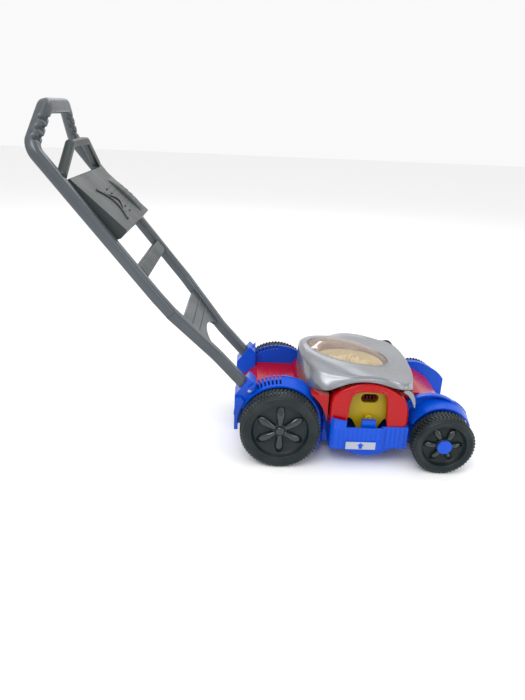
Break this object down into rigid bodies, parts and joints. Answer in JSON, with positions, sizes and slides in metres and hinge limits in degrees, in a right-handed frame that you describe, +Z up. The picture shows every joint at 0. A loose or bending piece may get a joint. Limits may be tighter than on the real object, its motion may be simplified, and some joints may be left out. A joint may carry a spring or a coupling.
{
  "type": "toy bubble mower",
  "caption": "Push-along toy lawn mower that blows bubbles: dark wheels drive a gear train, blower and bubble wheel under a silver hood with a long handle.",
  "frame": {"origin": "on the ground under the middle of the bounding box", "axes": "+X to the front wheels, +Y to the toy's left side, +Z up; the bubble outlet faces -Y"},
  "size_m": [0.604, 0.2312, 0.4838],
  "materials": {
    "red_plastic": "moulded, glossy",
    "blue_plastic": "moulded, glossy",
    "silver_plastic": "moulded with metal flake, satin gloss",
    "handle_plastic": "blow moulded grey with metal flake, satin",
    "yellow_plastic": "moulded, glossy",
    "pale_yellow_plastic": "moulded, satin",
    "clear_amber_window": "clear tinted plastic",
    "wheel_plastic": "blow moulded, satin with glossy petals",
    "white_gear_plastic": "moulded natural plastic",
    "black_case_plastic": "moulded",
    "steel": "plain drawn steel",
    "grey_label": "printed label"
  },
  "bodies": {
    "mower_body": {"deck_shell": "red_plastic", "arch_housing": "red_plastic", "base_pan": "blue_plastic", "rear_fender_right": "blue_plastic", "rear_fender_left": "blue_plastic", "front_fender_right": "blue_plastic", "front_fender_left": "blue_plastic", "solution_tray": "blue_plastic", "engine_hood": "silver_plastic", "handle_upper": "handle_plastic", "handle_lower": "handle_plastic", "handle_console": "handle_plastic", "bubble_chamber": "yellow_plastic", "fan_housing": "pale_yellow_plastic", "hood_window": "clear_amber_window", "axle_bushes": "white_gear_plastic", "gearbox_case_right": "black_case_plastic", "gearbox_case_left": "black_case_plastic", "front_axle": "steel", "idler_pin": "steel", "front_push_nuts": "steel", "deck_screws": "steel", "gearbox_screws": "steel", "hood_screws": "steel", "handle_screws": "steel", "tray_label": "grey_label"},
    "rear_axle": {"rear_axle": "steel", "drive_gear": "white_gear_plastic", "rear_wheel_right": "wheel_plastic", "rear_wheel_left": "wheel_plastic"},
    "compound_gear": {"compound_gear": "white_gear_plastic"},
    "crown_gear": {"crown_gear": "white_gear_plastic"},
    "bubble_wheel": {"bubble_wheel": "yellow_plastic", "wand_shaft": "steel", "wand_gear": "white_gear_plastic"},
    "fan": {"blower_fan": "pale_yellow_plastic", "fan_shaft": "steel", "fan_pinion": "white_gear_plastic"},
    "front_wheel_right": {"front_wheel_right": "wheel_plastic", "front_hub_cap_right": "blue_plastic"},
    "front_wheel_left": {"front_wheel_left": "wheel_plastic", "front_hub_cap_left": "blue_plastic"}
  },
  "joints": [
    {"name": "rear_axle_spin", "type": "hinge", "parent": "mower_body", "child": "rear_axle", "pos_m": [0.02211, 0, 0.0575], "axis": [0, 1, 0], "continuous": true},
    {"name": "compound_gear_spin", "type": "hinge", "parent": "mower_body", "child": "compound_gear", "pos_m": [0.0646, 0.014, 0.05842], "axis": [0, 1, 0], "continuous": true},
    {"name": "crown_gear_spin", "type": "hinge", "parent": "mower_body", "child": "crown_gear", "pos_m": [0.12585, 0.01, 0.0583], "axis": [0, 1, 0], "continuous": true},
    {"name": "bubble_wheel_spin", "type": "hinge", "parent": "mower_body", "child": "bubble_wheel", "pos_m": [0.14911, -0.08, 0.0752], "axis": [0, 1, 0], "continuous": true},
    {"name": "fan_spin", "type": "hinge", "parent": "mower_body", "child": "fan", "pos_m": [0.12585, 0, 0.11], "axis": [0, 0, 1], "continuous": true},
    {"name": "front_wheel_right_spin", "type": "hinge", "parent": "mower_body", "child": "front_wheel_right", "pos_m": [0.25711, -0.1, 0.0449], "axis": [0, 1, 0], "continuous": true},
    {"name": "front_wheel_left_spin", "type": "hinge", "parent": "mower_body", "child": "front_wheel_left", "pos_m": [0.25711, 0.1, 0.0449], "axis": [0, 1, 0], "continuous": true}
  ],
  "couplings": [
    {"joint": "compound_gear_spin", "follows": "rear_axle_spin", "ratio": -2.4},
    {"joint": "crown_gear_spin", "follows": "rear_axle_spin", "ratio": 2.5},
    {"joint": "bubble_wheel_spin", "follows": "rear_axle_spin", "ratio": -1.6071},
    {"joint": "fan_spin", "follows": "rear_axle_spin", "ratio": -8.3333}
  ]
}
